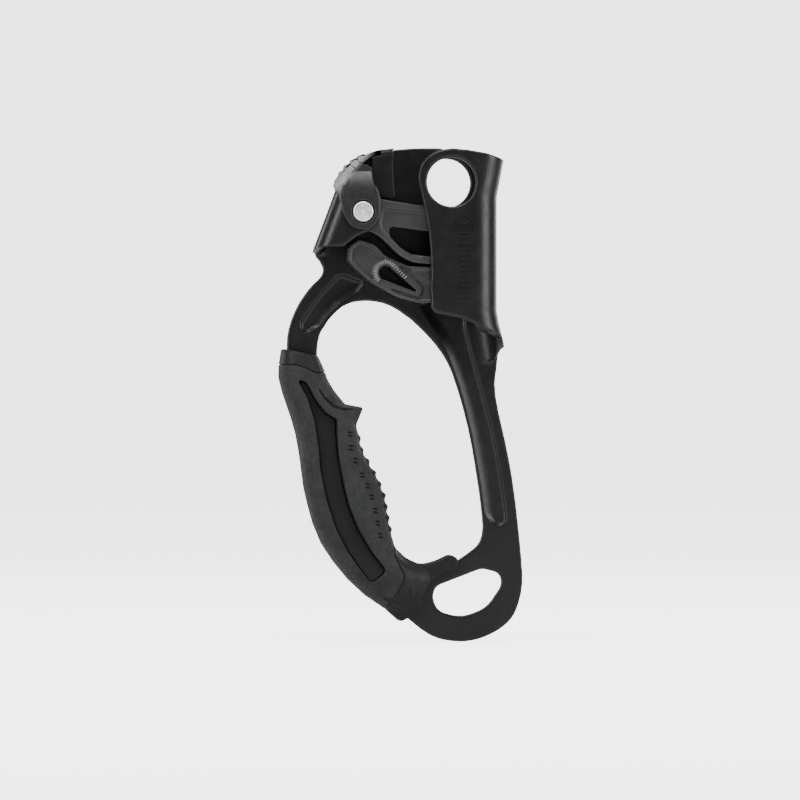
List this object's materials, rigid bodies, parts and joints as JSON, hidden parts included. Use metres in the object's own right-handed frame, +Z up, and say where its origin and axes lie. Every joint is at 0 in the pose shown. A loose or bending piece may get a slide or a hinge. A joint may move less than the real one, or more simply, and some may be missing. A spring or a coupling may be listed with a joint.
{
  "type": "rope ascender",
  "caption": "Handled rope ascender: folded black frame with a rope channel, toothed spring cam with thumb catch, moulded hand grip and lower attachment eye.",
  "frame": {"origin": "on the axis of the upper connection hole, at the front face of the back plate", "axes": "+Z up along the rope, +X to the right seen from the front (the rope channel side), +Y away from the viewer, from the front flap to the back plate"},
  "size_m": [0.0986, 0.0347, 0.1982],
  "materials": {
    "anodised_sheet": "black anodised, satin",
    "cap_plastic": "moulded grey nylon",
    "bright_steel": "turned and lightly brushed",
    "bush_bronze": "sintered bronze",
    "washer_plastic": "natural acetal",
    "cam_steel": "blackened steel",
    "spring_wire": "drawn spring wire",
    "catch_alloy": "blackened alloy casting",
    "core_plastic": "black nylon, semi-gloss",
    "grip_rubber": "fine grained dark grey rubber"
  },
  "bodies": {
    "frame": {"frame": "anodised_sheet", "palm_cap": "cap_plastic", "axle_rivet": "bright_steel", "rivet_washer": "bright_steel", "axle_bush": "bush_bronze", "thrust_washer_front": "washer_plastic", "thrust_washer_rear": "washer_plastic", "cam_spring": "spring_wire", "grip_core_front": "core_plastic", "grip_core_rear": "core_plastic", "grip_pegs": "core_plastic", "grip_overmould": "grip_rubber"},
    "cam": {"cam": "cam_steel"},
    "catch": {"catch_lever": "catch_alloy", "catch_pin": "bright_steel", "catch_spring": "spring_wire"}
  },
  "joints": [
    {"name": "cam_hinge", "type": "hinge", "parent": "frame", "child": "cam", "pos_m": [-0.0357, -0.00675, -0.012], "axis": [0, 1, 0], "range_deg": [0, 75], "stiffness_Nm_per_rad": 0.08, "springref_deg": -34.38, "deforming": ["cam_spring"]},
    {"name": "catch_hinge", "type": "hinge", "parent": "cam", "child": "catch", "pos_m": [0.003, -0.00675, -0.0382], "axis": [0, 1, 0], "range_deg": [-36, 0], "stiffness_Nm_per_rad": 0.02, "springref_deg": 28.65, "deforming": ["catch_spring"]}
  ],
  "couplings": [
    {"joint": "catch_hinge", "follows": "cam_hinge", "ratio": -0.48}
  ]
}
